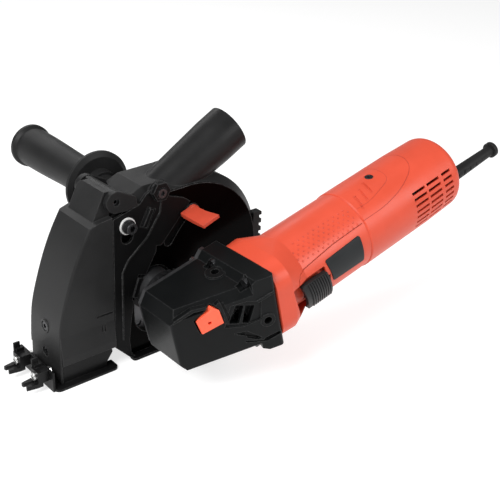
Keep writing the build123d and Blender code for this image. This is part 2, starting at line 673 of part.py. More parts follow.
def draw_head(inset, front, back):
    """Outline of the gear head in (a, b)."""
    w, n = 30.5 - inset, 21 - 0.4 * inset
    with BuildLine() as outline:
        Polyline((front + inset, n), (front + 8 + 0.6 * inset, w), (-14, w), (-8, 36 - inset),
                 (back, 36 - inset), (back, -36 + inset), (-6, -36 + inset), (-14, -w),
                 (front + 6 + 0.6 * inset, -w), (front + inset, -n), (front + inset, n))
    make_face(outline.edges())


def button_corners(room):
    """Corners of the lock button in (a, b), moved out by room."""
    corners = []
    for a, b in ((-57.2, 18.4), (-42.8, 26.0), (-39.2, 22.4), (-37.6, 8.4), (-54.6, 4.6)):
        out = hypot(a - LOCK_A, b - LOCK_B)
        corners.append((a + room * 1.2 * (a - LOCK_A) / out, b + room * 1.2 * (b - LOCK_B) / out))
    return corners


with BuildPart() as gear_case:
    with BuildSketch(beside(-62)):
        draw_head(0, NOSE_A, HEAD_END)
    extrude(amount=80)
    split(bisect_by=on_face(0, 0), keep=Keep.BOTTOM)
    rounded = gear_case.edges().filter_by(
        lambda e: e.center().Y < -100 and e.length > 25 and abs(e.center().X) < 90)
    fillet(rounded, 3.2)
    # broad bevels where the near face meets the upper and lower faces
    for sign, depth in ((1, 5.0), (-1, 2.6)):
        slant = (FACE_Z + PERP * sign).normalized()
        corner = point(-44, near_face(-44), sign * 30.5) - slant * depth
        with BuildSketch(Plane(origin=corner, x_dir=FACE_X, z_dir=slant)):
            Rectangle(70, 40)
        extrude(amount=20, mode=Mode.SUBTRACT)
    # hollow for the gears
    with BuildSketch(beside(-61)):
        draw_head(3.2, NOSE_A, 2.5)
    extrude(amount=-61 - HOLLOW_Y, mode=Mode.SUBTRACT)
    with BuildSketch(across(-24)):
        Circle(19)
    extrude(amount=27, mode=Mode.SUBTRACT)
    with BuildSketch(across(-6)):
        Circle(13.0)
    extrude(amount=20, mode=Mode.SUBTRACT)
    # bearing seat at the top of the spindle
    with BuildSketch(beside(HOLLOW_Y + 1)):
        with Locations((SPINDLE_A, 0)):
            Circle(7.0)
    extrude(amount=HOLLOW_Y + 1 - TOP_BEARING_Y + 0.2, mode=Mode.SUBTRACT)
    # raised hood round the lock button, its well and the hole for its pin
    with BuildSketch(on_face(0, 0, -3)):
        for ridge in (((-73.5, 23), (-72.5, 25.5), (-58, 31), (-47.5, 29.5), (-47.5, 26.8), (-57, 28)),
                      ((-41, 27), (-37.2, 29.5), (-31.8, 9), (-33.5, 5.5), (-35.6, 6.5), (-36.4, 18))):
            with BuildLine():
                Polyline(*face_points(*ridge), close=True)
            make_face()
    extrude(amount=4.6)
    # groove between the hood and the windows
    with BuildSketch(on_face(0, 0, 2)):
        with BuildLine():
            Polyline(*face_points((-37.0, 31.5), (-35.2, 31), (-30.9, 9.5), (-32.6, 5.4),
                                  (-33.6, 8.4)), close=True)
        make_face()
    extrude(amount=-4.2, mode=Mode.SUBTRACT)
    with BuildSketch(beside(WELL_Y)):
        with BuildLine():
            Polyline(*button_corners(1.0), close=True)
        make_face()
    extrude(amount=30, mode=Mode.SUBTRACT)
    with BuildSketch(beside(HOLLOW_Y + 1)):
        with Locations((LOCK_PIN_A, LOCK_PIN_B)):
            Circle(2.45)
    extrude(amount=20, mode=Mode.SUBTRACT)
    with BuildSketch(beside(-101)):
        with Locations((LOCK_PIN_A, LOCK_PIN_B)):
            Circle(4.2)
    extrude(amount=20, mode=Mode.SUBTRACT)
    # two slanted vent windows in a sunk frame
    with BuildSketch(on_face(0, 0, 1)):
        with BuildLine():
            Polyline(*face_points((-29.5, 20.5), (-37.0, 1.6), (-22.5, -3.4), (-8.6, -2.2),
                                  (-6.2, 14.8), (-16.5, 19.5)), close=True)
        make_face()
    extrude(amount=-2.4, mode=Mode.SUBTRACT)
    with BuildSketch(on_face(0, 0, 1)):
        for window in (((-25.4, 18.7), (-33.2, 3.4), (-25.5, -0.2), (-19.3, 16.0)),
                       ((-18.3, 15.6), (-22.9, -0.6), (-17.7, -3.0), (-11.2, 12.4))):
            with BuildLine():
                Polyline(*face_points(*window), close=True)
            make_face()
    extrude(amount=-9, mode=Mode.SUBTRACT)
    # sunk slits below the windows, and a short rib above the boss
    with BuildSketch(on_face(0, 0, 2)):
        for slit in (((-31, -7.6), (-21, -9.2), (-10.6, -20.5), (-13.2, -22), (-21.5, -16.2),
                      (-22.4, -13.4)),
                     ((-24, -18.5), (-9.4, -24.2), (-8.2, -22.4), (4.6, -20.3), (4.8, -23.6),
                      (-6.4, -26.4), (-23, -20.4))):
            with BuildLine():
                Polyline(*face_points(*slit), close=True)
            make_face()
    extrude(amount=-4.6, mode=Mode.SUBTRACT)
    with BuildSketch(on_face(0, 0, -1)):
        with BuildLine():
            Polyline(*face_points((-9.5, 17.4), (4.2, 21.4), (4.2, 19.4), (-8.8, 15.2)), close=True)
        make_face()
    extrude(amount=2.0)
    # threaded handle boss on the near face
    with BuildSketch(on_face(-3.7, -5, -1.5)):
        Circle(6.2)
    extrude(amount=2.6)
    with BuildSketch(on_face(-3.7, -5, 3)):
        Circle(STUD_R)
    extrude(amount=-14, mode=Mode.SUBTRACT)
    # threaded handle bosses through the upper and lower walls; the lower one stands further back
    for sign, a in ((-1, HANDLE_A + 3), (1, HANDLE_A)):
        boss_seat = Plane(origin=point(a, HANDLE_Y, sign * BOSS_TOP), x_dir=ALONG, z_dir=PERP * sign)
        with BuildSketch(boss_seat):
            Circle(8.4)
        extrude(amount=-2.2)
        with BuildSketch(boss_seat):
            Circle(BOSS_R)
        extrude(amount=-THREAD_LENGTH)
        # flat seat round the hole
        with BuildSketch(boss_seat):
            Circle(BOSS_R)
        extrude(amount=8, mode=Mode.SUBTRACT)
        with BuildSketch(boss_seat):
            Circle(STUD_R)
        extrude(amount=-THREAD_LENGTH - 1, mode=Mode.SUBTRACT)
    # screw tunnels to the motor housing and to the bearing plate
    for y, b in HOUSING_SCREWS:
        with BuildSketch(across(-9, y, b)):
            Circle(4.2)
        extrude(amount=-9, mode=Mode.SUBTRACT)
        with BuildSketch(across(-9, y, b)):
            Circle(2.3)
        extrude(amount=20, mode=Mode.SUBTRACT)
save(gear_case, "gear_case")

PLATE_SCREWS = ((-64.5, 15), (-64.5, -15), (-14.5, 25), (-14.5, -25))
with BuildPart() as neck_flange:
    with BuildSketch(beside(NECK_Y)):
        draw_head(1.5, NOSE_A, -4)
    extrude(amount=4.9)
    with BuildSketch(beside(ARM_Y + ARM_T)):
        with Locations((SPINDLE_A, 0)):
            Circle(NECK_R)
    extrude(amount=-NECK_Y + ARM_Y + ARM_T + 2)
    with BuildSketch(beside(ARM_Y + ARM_T + 1)):
        with Locations((SPINDLE_A, 0)):
            Circle(8.6)
    extrude(amount=60, mode=Mode.SUBTRACT)
    with BuildSketch(beside(-45)):
        with Locations((SPINDLE_A, 0)):
            Circle(13.0)
    extrude(amount=20, mode=Mode.SUBTRACT)
    for a, b in PLATE_SCREWS:
        with BuildSketch(beside(-50)):
            with Locations((a, b)):
                Circle(2.2)
        extrude(amount=20, mode=Mode.SUBTRACT)
save(neck_flange, "neck_flange")

with BuildPart() as flange_screws:
    for a, b in PLATE_SCREWS:
        with BuildSketch(beside(NECK_Y)):
            with Locations((a, b)):
                Circle(3.6)
                RegularPolygon(1.9, 6, mode=Mode.SUBTRACT)
        extrude(amount=-2.8)
        with BuildSketch(beside(NECK_Y)):
            with Locations((a, b)):
                Circle(2.1)
        extrude(amount=4.8)
save(flange_screws, "flange_screws")

with BuildPart() as clamp_ring:
    with BuildSketch(beside(-46)):
        with Locations((SPINDLE_A, 0)):
            Circle(22)
            with PolarLocations(22.2, 24):
                Rectangle(4.4, 2.8)
            Circle(NECK_R, mode=Mode.SUBTRACT)
    extrude(amount=4)
    with BuildSketch(beside(-40)):
        with Locations((SPINDLE_A, 0)):
            Circle(20.5)
            Circle(NECK_R, mode=Mode.SUBTRACT)
    extrude(amount=7)
save(clamp_ring, "clamp_ring")

with BuildPart() as swing_arm:
    with BuildSketch(side(ARM_Y + ARM_T)):
        with BuildLine():
            Polyline((SPINDLE_X, SPINDLE_Z + 22), (LEVER_X - 6, LEVER_Z + 2), (LEVER_X + 6, LEVER_Z + 1),
                     (14, 86), (PIVOT_X + 2, PIVOT_Z + 8.4), (PIVOT_X - 4, PIVOT_Z - 7.6),
                     (SPINDLE_X + 8, SPINDLE_Z - 21), (SPINDLE_X, SPINDLE_Z + 22))
        make_face()
        with Locations((SPINDLE_X, SPINDLE_Z)):
            Circle(22)
        with Locations((PIVOT_X, PIVOT_Z)):
            Circle(8.6)
        with Locations((LEVER_X, LEVER_Z)):
            Circle(7)
        with Locations((2, 62)):
            Circle(11, mode=Mode.SUBTRACT)
        with Locations((SPINDLE_X, SPINDLE_Z)):
            Circle(NECK_R, mode=Mode.SUBTRACT)
    extrude(amount=ARM_T)
    with BuildSketch(side(FAR_Y - WALL - 0.6)):
        with Locations((PIVOT_X, PIVOT_Z)):
            Circle(8.0)
    extrude(amount=FAR_Y - WALL - 0.6 - ARM_Y - 1)
    with BuildSketch(side(FAR_Y)):
        with Locations((PIVOT_X, PIVOT_Z)):
            Circle(4.05)
    extrude(amount=60, mode=Mode.SUBTRACT)
    with BuildSketch(side(ARM_Y + ARM_T + 4)):
        with Locations((LEVER_X, LEVER_Z)):
            Circle(6.0)
    extrude(amount=4.2)
    with BuildSketch(side(ARM_Y + ARM_T + 5)):
        with Locations((LEVER_X, LEVER_Z)):
            Circle(3.05)
    extrude(amount=12, mode=Mode.SUBTRACT)
save(swing_arm, "swing_arm")

# ---- depth knob -----------------------------------------------------------------------
with BuildPart() as lever_bolt:
    with BuildSketch(side(NEAR_Y - 0.3)):
        with Locations((LEVER_X, LEVER_Z)):
            Circle(7.0)
    extrude(amount=1.2)
    with BuildSketch(side(NEAR_Y - 0.3)):
        with Locations((LEVER_X, LEVER_Z)):
            Circle(3.9)
    extrude(amount=-(PANEL_Y - NEAR_Y))
    with BuildSketch(side(PANEL_Y)):
        with Locations((LEVER_X, LEVER_Z)):
            Circle(3.0)
    extrude(amount=-9)
save(lever_bolt, "lever_bolt")

TAB_TILT = 20
tab_plane = Plane(origin=(LEVER_X, NEAR_Y - 1.5, LEVER_Z),
                  x_dir=(cos(radians(TAB_TILT)), 0, sin(radians(TAB_TILT))), z_dir=(0, -1, 0))
with BuildPart() as depth_lever:
    with BuildSketch(tab_plane):
        Circle(6)
        with Locations((-4.6, 3.2)):
            RectangleRounded(13.5, 4.6, 1)
    extrude(amount=2.5)
    with BuildSketch(tab_plane.offset(2)):
        with Locations((-4.6, 3.2)):
            Rectangle(13.5, 4.4)
    with BuildSketch(tab_plane.offset(17)):
        with Locations((-4.2, 3.4)):
            Rectangle(14.5, 4.0)
    with BuildSketch(tab_plane.offset(31)):
        with Locations((-3.0, 4.4)):
            Rectangle(17, 3.0)
    loft(ruled=True)
save(depth_lever, "depth_lever")

# ---- spindle with discs ---------------------------------------------------------------
SPINDLE_TOP = -104.3
NUT_Y = 14.6


def spindle_disc(y_from, y_to, r):
    """A round step of the spindle between two planes."""
    with BuildSketch(beside(y_to)) as step:
        with Locations((SPINDLE_A, 0)):
            Circle(r)
    extrude(step.sketch, amount=y_to - y_from)


def spindle_ring(y_from, y_to, r, inner):
    """A ring round the spindle between two planes."""
    with BuildSketch(beside(y_to)) as ring:
        with Locations((SPINDLE_A, 0)):
            Circle(r)
            Circle(inner, mode=Mode.SUBTRACT)
    extrude(ring.sketch, amount=y_to - y_from)


with BuildPart() as spindle:
    spindle_disc(SPINDLE_TOP, -90, 4.0)
    spindle_disc(-90, -61, 7.0)
    spindle_disc(-61, NEAR_DISC_Y - 2.5, 8.0)
    spindle_disc(NEAR_DISC_Y - 2.5, 15.8, 7.0)
save(spindle, "spindle")

CROWN_R, CROWN_IN = 27.0, 20.0
PITCH_RATIO = PINION_TEETH / CROWN_TEETH
TIP, ROOT = 1.15, 1.5
CROWN_WEB_Y = -88.0
LOCK_PIN_R = hypot(LOCK_PIN_A - SPINDLE_A, LOCK_PIN_B)
LOCK_PIN_ANGLE = degrees(atan2(LOCK_PIN_B, LOCK_PIN_A - SPINDLE_A))


def root_y(r):
    """Plane of the crown's tooth roots at a radius."""
    return MOTOR_Y + r * (PITCH_RATIO + ROOT / CROWN_R)


crown_seat = Plane(origin=point(SPINDLE_A, MOTOR_Y, 0), x_dir=ALONG, z_dir=(0, -1, 0))
with BuildPart() as crown_gear:
    with BuildSketch(Plane(origin=point(SPINDLE_A, 0, 0), x_dir=ALONG, z_dir=PERP)):
        with BuildLine():
            Polyline((7, -68), (CROWN_R - 0.2, -68), (CROWN_R - 0.2, root_y(CROWN_R - 0.2)),
                     (17.8, root_y(17.8)), (17.8, CROWN_WEB_Y), (7, CROWN_WEB_Y), (7, -68))
        make_face()
    revolve(axis=Axis(point(SPINDLE_A, 0, 0), (0, 1, 0)))
    # holes for the lock pin
    with BuildSketch(beside(CROWN_WEB_Y + 5)):
        with Locations((SPINDLE_A, 0)):
            with PolarLocations(LOCK_PIN_R, 4, start_angle=LOCK_PIN_ANGLE):
                Circle(3.0)
    extrude(amount=8, mode=Mode.SUBTRACT)
    for tooth in range(CROWN_TEETH):
        turn = (tooth + 0.5) * 2 * 180 / CROWN_TEETH
        tooth_x = Vector(1, 0, 0).rotate(Axis.Z, turn)
        sections = []
        for r in (CROWN_IN, CROWN_R - 0.3):
            k = r / CROWN_R
            start = crown_seat.from_local_coords(tooth_x * r)
            out = crown_seat.from_local_coords(tooth_x) - crown_seat.origin
            section = Plane(origin=start, x_dir=out.cross(Vector(0, -1, 0)), z_dir=out)
            low = -(CROWN_R * PITCH_RATIO + ROOT + 0.5) * k
            top = -(CROWN_R * PITCH_RATIO - TIP + 0.1) * k
            side_sign = section.to_local_coords(section.origin + Vector(0, -1, 0)).Y
            with BuildSketch(section):
                Polygon((-1.15 * k, low * side_sign), (1.15 * k, low * side_sign),
                        (0.42 * k, top * side_sign), (-0.42 * k, top * side_sign), align=None)
        loft(ruled=True)
save(crown_gear, "crown_gear")

with BuildPart() as spindle_bearings:
    spindle_ring(-56.6, -46, 13.0, 8.03)
    spindle_ring(TOP_BEARING_Y, -98.5, 7.0, 4.03)
save(spindle_bearings, "spindle_bearings")

with BuildPart() as inner_flange:
    spindle_ring(NEAR_DISC_Y - 2.4, NEAR_DISC_Y, 20, 7.0)
save(inner_flange, "inner_flange")

for name, y in (("near_disc", NEAR_DISC_Y), ("far_disc", FAR_DISC_Y)):
    with BuildPart() as disc:
        spindle_ring(y, y + DISC_T, DISC_R - 7, 11.1)
        spindle_ring(y + 0.3, y + DISC_T - 0.3, 11.2, 7.0)
        for k in range(12):
            with BuildSketch(beside(y + DISC_T + 0.15)):
                with BuildLine():
                    CenterArc((SPINDLE_A, 0), DISC_R - 3.6, k * 30 + 1.5, 27)
                trace(line_width=7.2)
            extrude(amount=DISC_T + 0.3)
        with BuildSketch(beside(y + DISC_T + 1)):
            with Locations((SPINDLE_A, 0)):
                with PolarLocations(38, 6):
                    Circle(3.2)
        extrude(amount=DISC_T + 2, mode=Mode.SUBTRACT)
    save(disc, name)

with BuildPart() as disc_spacers:
    spacer_y = NEAR_DISC_Y + DISC_T
    for width in (5.8, 7.8, 9.8):
        spindle_ring(spacer_y, spacer_y + width, 18, 7.0)
        spacer_y += width
save(disc_spacers, "disc_spacers")

with BuildPart() as clamp_nut:
    spindle_ring(FAR_DISC_Y + DISC_T, NUT_Y, 17, 7.0)
    with BuildSketch(beside(NUT_Y + 1)):
        with Locations((SPINDLE_A, 0)):
            with PolarLocations(13, 2):
                Circle(2.2)
    extrude(amount=3.5, mode=Mode.SUBTRACT)
save(clamp_nut, "clamp_nut")

# ---- rotor ----------------------------------------------------------------------------


def rotor_ring(t_from, t_to, r, inner=0.0):
    """A round step of the rotor between two stations along the motor axis."""
    with BuildSketch(across(t_from)) as ring:
        Circle(r)
        if inner > 0:
            Circle(inner, mode=Mode.SUBTRACT)
    extrude(ring.sketch, amount=t_to - t_from)


PINION_FROM = SPINDLE_A + CROWN_IN + 0.2
PINION_TO = SPINDLE_A + CROWN_R
with BuildPart() as armature_shaft:
    rotor_ring(PINION_FROM - 0.4, 10, 3.5)
    rotor_ring(10, 24, 5.0)
    rotor_ring(24, 131, 6.0)
    rotor_ring(131, 141, 4.0)
save(armature_shaft, "armature_shaft")

with BuildPart() as pinion:
    for station in (PINION_FROM, PINION_TO):
        k = (station - SPINDLE_A) / CROWN_R
        with BuildSketch(across(station)):
            with BuildLine():
                teeth = []
                for tooth in range(PINION_TEETH):
                    base = tooth * 360 / PINION_TEETH
                    for r, turn in ((5.55, -14), (7.1, -6.0), (8.2, -2.6), (8.2, 2.6), (7.1, 6.0),
                                    (5.55, 14)):
                        spot = radians(base + turn)
                        teeth.append((r * k * cos(spot), r * k * sin(spot)))
                Polyline(*teeth, close=True)
            make_face()
            Circle(3.5, mode=Mode.SUBTRACT)
    loft(ruled=True)
    rotor_ring(PINION_TO, PINION_TO + 4, 6.4, 3.5)
save(pinion, "pinion")

with BuildPart() as armature_core:
    with BuildSketch(across(63)):
        Circle(20)
        with PolarLocations(19, 14):
            Rectangle(3.0, 2.0, mode=Mode.SUBTRACT)
        Circle(6.0, mode=Mode.SUBTRACT)
    extrude(amount=40)
save(armature_core, "armature_core")

with BuildPart() as armature_windings:
    for t_from, t_to in ((54, 63), (103, 111)):
        rotor_ring(t_from, t_to, 17.5, 6.0)
    fillet(armature_windings.edges().filter_by(
        lambda e: e.geom_type == GeomType.CIRCLE and e.radius > 15), 2.4)
save(armature_windings, "armature_windings")

with BuildPart() as commutator:
    with BuildSketch(across(113)):
        Circle(12)
        with PolarLocations(12, 28):
            Rectangle(1.4, 0.5, mode=Mode.SUBTRACT)
        Circle(6.0, mode=Mode.SUBTRACT)
    extrude(amount=15)
save(commutator, "commutator")

with BuildPart() as cooling_fan:
    rotor_ring(40, 42, 27, 6.0)
    rotor_ring(30, 42, 9, 6.0)
    with BuildSketch(across(31)):
        with PolarLocations(17.5, 12):
            Rectangle(17.5, 1.8, rotation=18)
    extrude(amount=10)
save(cooling_fan, "cooling_fan")

with BuildPart() as armature_bearings:
    rotor_ring(12, 21, 13.0, 5.03)
    rotor_ring(132, 139, 9.5, 4.03)
save(armature_bearings, "armature_bearings")

# ---- motor housing --------------------------------------------------------------------
ROD_Y, ROD_B = -28.6, -10.5


def barrel_sector(t_from, length, r_out, r_in, low, high, mode=Mode.ADD):
    """A piece of the barrel wall between two angles counted up from the near side."""
    corners = []
    for r, angle in ((r_out, high), (r_out, low), (r_in, low), (r_in, high)):
        corners.append((-r * cos(radians(angle)), r * sin(radians(angle))))
    middle = radians((low + high) / 2)
    with BuildSketch(across(t_from)) as sector:
        with BuildLine():
            ThreePointArc(corners[0], (-r_out * cos(middle), r_out * sin(middle)), corners[1])
            Line(corners[1], corners[2])
            ThreePointArc(corners[2], (-r_in * cos(middle), r_in * sin(middle)), corners[3])
            Line(corners[3], corners[0])
        make_face()
    extrude(sector.sketch, amount=length, mode=mode)


def band(r_out, r_in, outline, corner=1.6):
    """A patch of a layer round the barrel, seen from the side with corners in (a, b)."""
    with BuildPart() as patch:
        rotor_ring(15, 112, r_out, r_in)
        with BuildSketch(beside(MOTOR_Y - 12)) as shape:
            with BuildLine() as edge:
                Polyline(*outline, close=True)
            make_face(edge.edges())
            if corner > 0:
                fillet(shape.vertices(), corner)
        extrude(shape.sketch, amount=40, mode=Mode.INTERSECT)
    return patch.part


FLOOR_R = 30.6            # floor of the recess that the slide switch sits in
recess = band(48, FLOOR_R, ((22.0, 10.2), (60.3, 10.6), (62.4, -22.8), (27.0, -23.6)))

parting_line = band(48, BARREL_R - 0.4,
                    ((116, 21.7), (77, 21.1), (58, 19.5), (34, 17.3), (30.8, 14.8), (29.0, 10.0),
                     (29.6, 9.8), (31.4, 14.5), (34.2, 16.7), (58, 18.9), (77, 20.5), (116, 21.1)), 0)

with BuildPart() as motor_housing:
    with BuildSketch(across(HEAD_END + 0.1)):
        RectangleRounded(71, 73, 20)
    with BuildSketch(across(22)):
        RectangleRounded(75, 74, 22)
    loft()
    with BuildSketch(across(22)):
        RectangleRounded(75, 74, 22)
    with BuildSketch(across(40)):
        RectangleRounded(2 * BARREL_R + 0.1, 2 * BARREL_R + 0.1, BARREL_R)
    loft()
    rotor_ring(39.9, SEAM_T - 0.2, BARREL_R)
    # inside
    with BuildSketch(across(HEAD_END - 1)):
        RectangleRounded(64, 66, 17)
    with BuildSketch(across(40)):
        RectangleRounded(2 * BARREL_IN + 0.1, 2 * BARREL_IN + 0.1, BARREL_IN)
    loft(mode=Mode.SUBTRACT)
    with BuildSketch(across(39.9)):
        Circle(BARREL_IN)
    extrude(amount=SEAM_T, mode=Mode.SUBTRACT)
    # web that carries the front bearing
    with BuildSketch(across(12)):
        RectangleRounded(66, 68, 19)
        Circle(13.0, mode=Mode.SUBTRACT)
        with PolarLocations(23.5, 8):
            Circle(4.0, mode=Mode.SUBTRACT)
    extrude(amount=5)
    rotor_ring(12, 21, 16, 13.0)
    # posts for the screws through the gear head
    for y, b in HOUSING_SCREWS:
        with BuildSketch(across(HEAD_END + 0.1, y, b)):
            Circle(4.6)
        extrude(amount=10)
        with BuildSketch(across(HEAD_END, y, b)):
            Circle(2.25)
        extrude(amount=8, mode=Mode.SUBTRACT)
    # recess for the slide switch, with a slot in its floor
    barrel_sector(18, 45.4, 33.5, 28.4, -54, 24)
    add(recess, mode=Mode.SUBTRACT)
    barrel_sector(38.5, 26, 40, 26, -27.5, 1, Mode.SUBTRACT)
    # fine parting line above the switch, turning down towards its recess
    add(parting_line, mode=Mode.SUBTRACT)
save(motor_housing, "motor_housing")

with BuildPart() as rear_housing:
    with BuildSketch(Plane(origin=point(0, MOTOR_Y, 0), x_dir=ALONG, z_dir=(0, -1, 0))):
        with BuildLine():
            Polyline((SEAM_T, 0), (SEAM_T, REAR_R - 1.2), (SEAM_T + 1.2, REAR_R), (195, REAR_R),
                     (END_T - 9, 35.2))
            ThreePointArc((END_T - 9, 35.2), (END_T - 2.4, 32.2), (END_T, 26))
            Polyline((END_T, 26), (END_T, 0), (SEAM_T, 0))
        make_face()
        with BuildLine():
            Polyline((SEAM_T - 1, 0), (SEAM_T - 1, 33.0), (195, 33.0), (END_T - 11, 32.0),
                     (END_T - 4, 25), (END_T - 4, 0), (SEAM_T - 1, 0))
        make_face(mode=Mode.SUBTRACT)
    revolve(axis=Axis(point(0, MOTOR_Y, 0), ALONG))
    # web that carries the rear bearing and the brush holders
    with BuildSketch(across(132)):
        Circle(33.2)
        Circle(9.5, mode=Mode.SUBTRACT)
        with PolarLocations(21.5, 6, start_angle=30):
            Circle(7, mode=Mode.SUBTRACT)
        with Locations((ROD_Y, ROD_B)):
            Rectangle(4.4, 8, mode=Mode.SUBTRACT)
    extrude(amount=5)
    rotor_ring(132, 140, 12, 9.5)
    # air slots in three columns on both sides
    for flank in (0, 1):
        for t_from, t_to in ((173, 189.5), (192, 208.6), (212.6, 224.4)):
            for row in range(7):
                angle = 30.5 - row * 9.2
                if flank:
                    angle = 180 - angle
                with BuildSketch(radial((t_from + t_to) / 2, angle, 26.5)):
                    Rectangle(t_to - t_from, 2.5)
                extrude(amount=14, mode=Mode.SUBTRACT)
    # three shallow grooves across the top, just behind the seam
    for t, angle in ((124, 64), (133, 70), (142, 76)):
        with BuildSketch(radial(t, angle, 40)):
            with BuildLine():
                Polyline((-3.6, -7), (-1.2, 6.5), (1.2, 6.5), (-1.2, -7), (-3.6, -7))
            make_face()
        extrude(amount=-4.9, mode=Mode.SUBTRACT)
    # hole for the cord sleeve
    with BuildSketch(across(END_T + 4, b=CORD_B)):
        Circle(7.35)
    extrude(amount=SLEEVE_SEAT_T - END_T - 4, mode=Mode.SUBTRACT)
    # screw seat on top
    with BuildSketch(radial(152.6, 90, 38)):
        Circle(4.0)
    extrude(amount=-3.2, mode=Mode.SUBTRACT)
    with BuildSketch(radial(152.6, 90, 30)):
        Circle(5.5)
    extrude(amount=4)
    with BuildSketch(radial(152.6, 90, 38)):
        Circle(1.9)
    extrude(amount=-14, mode=Mode.SUBTRACT)
save(rear_housing, "rear_housing")

with BuildPart() as rear_screw:
    with BuildSketch(radial(152.6, 90, 34.8)):
        Circle(3.6)
        RegularPolygon(1.9, 6, mode=Mode.SUBTRACT)
    extrude(amount=1.2)
    with BuildSketch(radial(152.6, 90, 34.8)):
        Circle(1.8)
    extrude(amount=-7)
save(rear_screw, "rear_screw")

with BuildPart() as name_plate:
    add(band(BARREL_R + 0.8, BARREL_R, ((62.2, 14.0), (103.5, 15.8), (104.3, -9.5), (67.9, -8.6))))
save(name_plate, "name_plate")

with BuildPart() as housing_screws:
    for y, b in HOUSING_SCREWS:
        with BuildSketch(across(-9.2, y, b)):
            Circle(3.9)
            RegularPolygon(2.0, 6, mode=Mode.SUBTRACT)
        extrude(amount=-3)
        with BuildSketch(across(-11, y, b)):
            Circle(2.2)
        extrude(amount=22.5)
save(housing_screws, "housing_screws")

with BuildPart() as air_baffle:
    with BuildSketch(across(45)):
        Circle(BARREL_IN)
        Circle(23, mode=Mode.SUBTRACT)
    extrude(amount=2.2)
    barrel_sector(40, 10, 34, 26.5, -58, 28, Mode.SUBTRACT)
save(air_baffle, "air_baffle")

with BuildPart() as stator_core:
    with BuildSketch(across(64)):
        Circle(BARREL_IN)
        Circle(20.7, mode=Mode.SUBTRACT)
        for sign in (-1, 1):
            with Locations((sign * 31, 0)):
                Rectangle(11, 60, mode=Mode.SUBTRACT)
    extrude(amount=38)
save(stator_core, "stator_core")

with BuildPart() as field_coils:
    for t in (57, 102):
        for sign in (-1, 1):
            with BuildSketch(across(t)):
                with BuildLine():
                    CenterArc((0, 0), 24.6, sign * 90 - 52, 104)
                trace(line_width=6)
            extrude(amount=7)
save(field_coils, "field_coils")

with BuildPart() as brush_holders:
    for sign in (-1, 1):
        with Locations(Plane(origin=point(120.5, MOTOR_Y + sign * 22.4, 0), x_dir=ALONG,
                             z_dir=PERP)):
            Box(11, 18, 11)
            Box(7.1, 20, 7.1, mode=Mode.SUBTRACT)
save(brush_holders, "brush_holders")

with BuildPart() as carbon_brushes:
    for sign in (-1, 1):
        with Locations(Plane(origin=point(120.5, MOTOR_Y + sign * 18.2, 0), x_dir=ALONG,
                             z_dir=PERP)):
            Box(7, 12, 7)
save(carbon_brushes, "carbon_brushes")

with BuildPart() as speed_module:
    with Locations(Plane(origin=point(165, MOTOR_Y + 8, -14), x_dir=ALONG, z_dir=PERP)):
        Box(34, 26, 11)
save(speed_module, "speed_module")

with BuildPart() as switch_block:
    with Locations(Plane(origin=point(168, MOTOR_Y - 17, -4), x_dir=ALONG, z_dir=PERP)):
        Box(34, 18, 20)
save(switch_block, "switch_block")

with BuildPart() as cord_clamp:
    with Locations(Plane(origin=point(208, MOTOR_Y, CORD_B + 8), x_dir=ALONG, z_dir=PERP)):
        Box(9, 26, 5)
    for sign in (-1, 1):
        with Locations(Plane(origin=point(208, MOTOR_Y + sign * 9, CORD_B + 11.5), x_dir=ALONG,
                             z_dir=PERP)):
            Cylinder(3.2, 3)
save(cord_clamp, "cord_clamp")

SLEEVE_END = 328.0
with BuildPart() as cord_sleeve:
    with BuildSketch(Plane(origin=point(0, MOTOR_Y, CORD_B), x_dir=ALONG, z_dir=(0, -1, 0))):
        with BuildLine():
            Polyline((213.5, 3.6), (213.5, 6.6), (SLEEVE_SEAT_T - 4.2, 6.6),
                     (SLEEVE_SEAT_T - 4.2, 8.6), (SLEEVE_SEAT_T - 0.1, 8.6),
                     (SLEEVE_SEAT_T - 0.1, 7.3), (END_T + 4, 7.3), (END_T + 6, 6.8),
                     (SLEEVE_END - 5, 5.3), (SLEEVE_END - 5, 7.8),
                     (SLEEVE_END - 1, 7.8), (SLEEVE_END, 6.6), (SLEEVE_END, 3.6), (213.5, 3.6))
        make_face()
    revolve(axis=Axis(point(0, MOTOR_Y, CORD_B), ALONG))
    for step in range(7):
        with BuildSketch(across(248 + step * 9, b=CORD_B)):
            for sign in (-1, 1):
                with Locations((sign * 7.8, 0)):
                    Rectangle(5, 9)
        extrude(amount=3, mode=Mode.SUBTRACT)
save(cord_sleeve, "cord_sleeve")

# ---- slide switch ---------------------------------------------------------------------
SLIDER_ENDS = ((30.2, 8.8), (58.4, 8.4), (65.8, -21.0), (38.6, -21.6))
with BuildPart() as switch_slider:
    add(band(39.3, 35.9, SLIDER_ENDS))
    # fine grip ridges across the rear of the top
    for ridge in range(9):
        start = 6.0 + 2.45 * ridge
        add(band(40.2, 39.2, ((30.4 + start, 8.0), (31.8 + start, 8.0),
                              (38.6 + start, -20.8), (37.2 + start, -20.8)), 0))
    # stem through the slot in the recess floor, with its foot for the push rod
    barrel_sector(46, 13, 36.2, 30, -19, -3)
save(switch_slider, "switch_slider")

with BuildPart() as switch_rod:
    with BuildSketch(across(59)):
        with Locations((ROD_Y, ROD_B)):
            Rectangle(1.6, 5)
    extrude(amount=90)
    # finger that works the switch
    with BuildSketch(across(146)):
        with Locations((ROD_Y + 4, ROD_B)):
            Rectangle(9, 5)
    extrude(amount=3)
save(switch_rod, "switch_rod")

